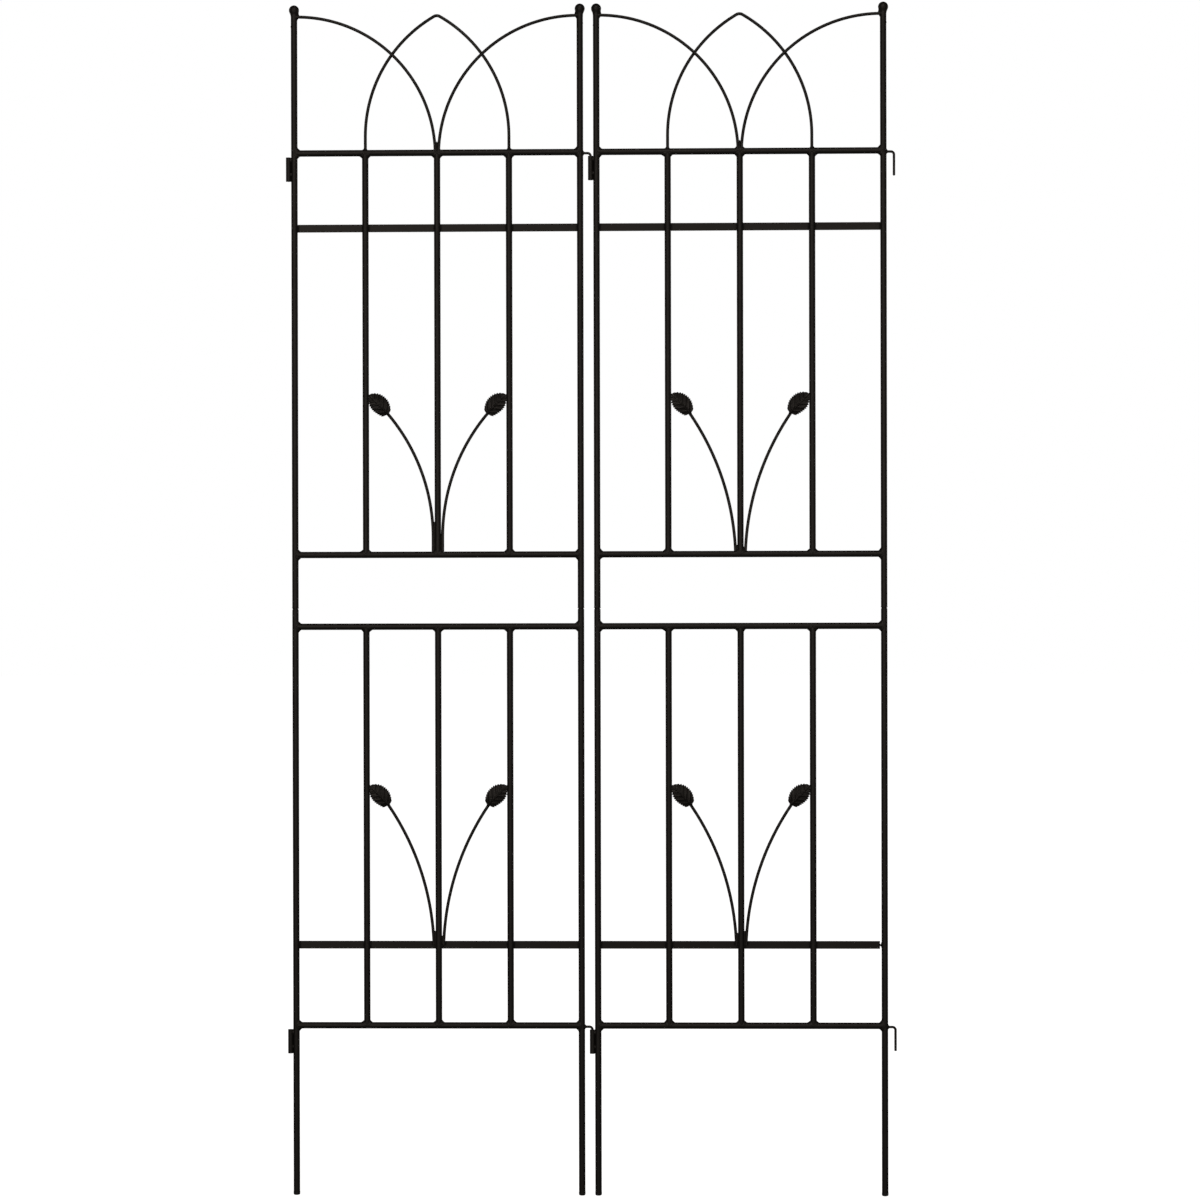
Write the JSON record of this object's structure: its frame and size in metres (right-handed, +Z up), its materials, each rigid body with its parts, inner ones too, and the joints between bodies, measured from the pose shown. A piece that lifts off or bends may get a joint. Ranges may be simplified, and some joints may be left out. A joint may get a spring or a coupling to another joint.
{
  "type": "folding garden trellis screen",
  "caption": "Tall screen of hooked-together steel trellis panels with pointed wire arches, leaf sprays, ball finials and ground stakes.",
  "frame": {"origin": "on the ground, at the middle of the screen's width and depth, which is the plane of the posts", "axes": "+Z up along the posts, +X to the right seen from the front, +Y to the back, where the flat bars are"},
  "size_m": [1.0224, 0.017, 2],
  "materials": {
    "tube_coat": "semi-gloss near-black powder coat on steel tube, bar and balls",
    "wire_coat": "semi-gloss near-black powder coat on bent steel wire",
    "leaf_coat": "near-black powder coat on pressed sheet leaves with embossed veins",
    "cap_plastic": "matt black moulded plastic"
  },
  "bodies": {
    "left_lower": {"left_lower_bottom_rail": "tube_coat", "left_lower_flat_bar": "tube_coat", "left_lower_hook": "wire_coat", "left_lower_leaves": "leaf_coat", "left_lower_post_left": "tube_coat", "left_lower_post_right": "tube_coat", "left_lower_rod_centre": "tube_coat", "left_lower_rod_left": "tube_coat", "left_lower_rod_right": "tube_coat", "left_lower_socket": "tube_coat", "left_lower_stake_caps": "cap_plastic", "left_lower_stems": "wire_coat", "left_lower_top_rail": "tube_coat"},
    "left_upper": {"left_upper_bottom_rail": "tube_coat", "left_upper_centre_arch": "wire_coat", "left_upper_finials": "tube_coat", "left_upper_flat_bar": "tube_coat", "left_upper_hook": "wire_coat", "left_upper_leaves": "leaf_coat", "left_upper_post_left": "tube_coat", "left_upper_post_right": "tube_coat", "left_upper_rod_centre": "tube_coat", "left_upper_rod_left": "tube_coat", "left_upper_rod_right": "tube_coat", "left_upper_side_bow_left": "wire_coat", "left_upper_side_bow_right": "wire_coat", "left_upper_socket": "tube_coat", "left_upper_stems": "wire_coat", "left_upper_top_rail": "tube_coat"},
    "right_lower": {"right_lower_bottom_rail": "tube_coat", "right_lower_flat_bar": "tube_coat", "right_lower_hook": "wire_coat", "right_lower_leaves": "leaf_coat", "right_lower_post_left": "tube_coat", "right_lower_post_right": "tube_coat", "right_lower_rod_centre": "tube_coat", "right_lower_rod_left": "tube_coat", "right_lower_rod_right": "tube_coat", "right_lower_socket": "tube_coat", "right_lower_stake_caps": "cap_plastic", "right_lower_stems": "wire_coat", "right_lower_top_rail": "tube_coat"},
    "right_upper": {"right_upper_bottom_rail": "tube_coat", "right_upper_centre_arch": "wire_coat", "right_upper_finials": "tube_coat", "right_upper_flat_bar": "tube_coat", "right_upper_hook": "wire_coat", "right_upper_leaves": "leaf_coat", "right_upper_post_left": "tube_coat", "right_upper_post_right": "tube_coat", "right_upper_rod_centre": "tube_coat", "right_upper_rod_left": "tube_coat", "right_upper_rod_right": "tube_coat", "right_upper_side_bow_left": "wire_coat", "right_upper_side_bow_right": "wire_coat", "right_upper_socket": "tube_coat", "right_upper_stems": "wire_coat", "right_upper_top_rail": "tube_coat"}
  },
  "joints": [
    {"name": "panel_fold", "type": "hinge", "parent": "left_lower", "child": "right_lower", "pos_m": [0.00115, 0, 0.285], "axis": [0, 0, 1], "range_deg": [-105, 105]},
    {"name": "left_upper_lift", "type": "slide", "parent": "left_lower", "child": "left_upper", "axis": [0, 0, 1], "range_m": [0, 0.06]},
    {"name": "right_upper_lift", "type": "slide", "parent": "right_lower", "child": "right_upper", "axis": [0, 0, 1], "range_m": [0, 0.06]}
  ],
  "couplings": [
    {"joint": "right_upper_lift", "follows": "left_upper_lift", "ratio": 1}
  ]
}
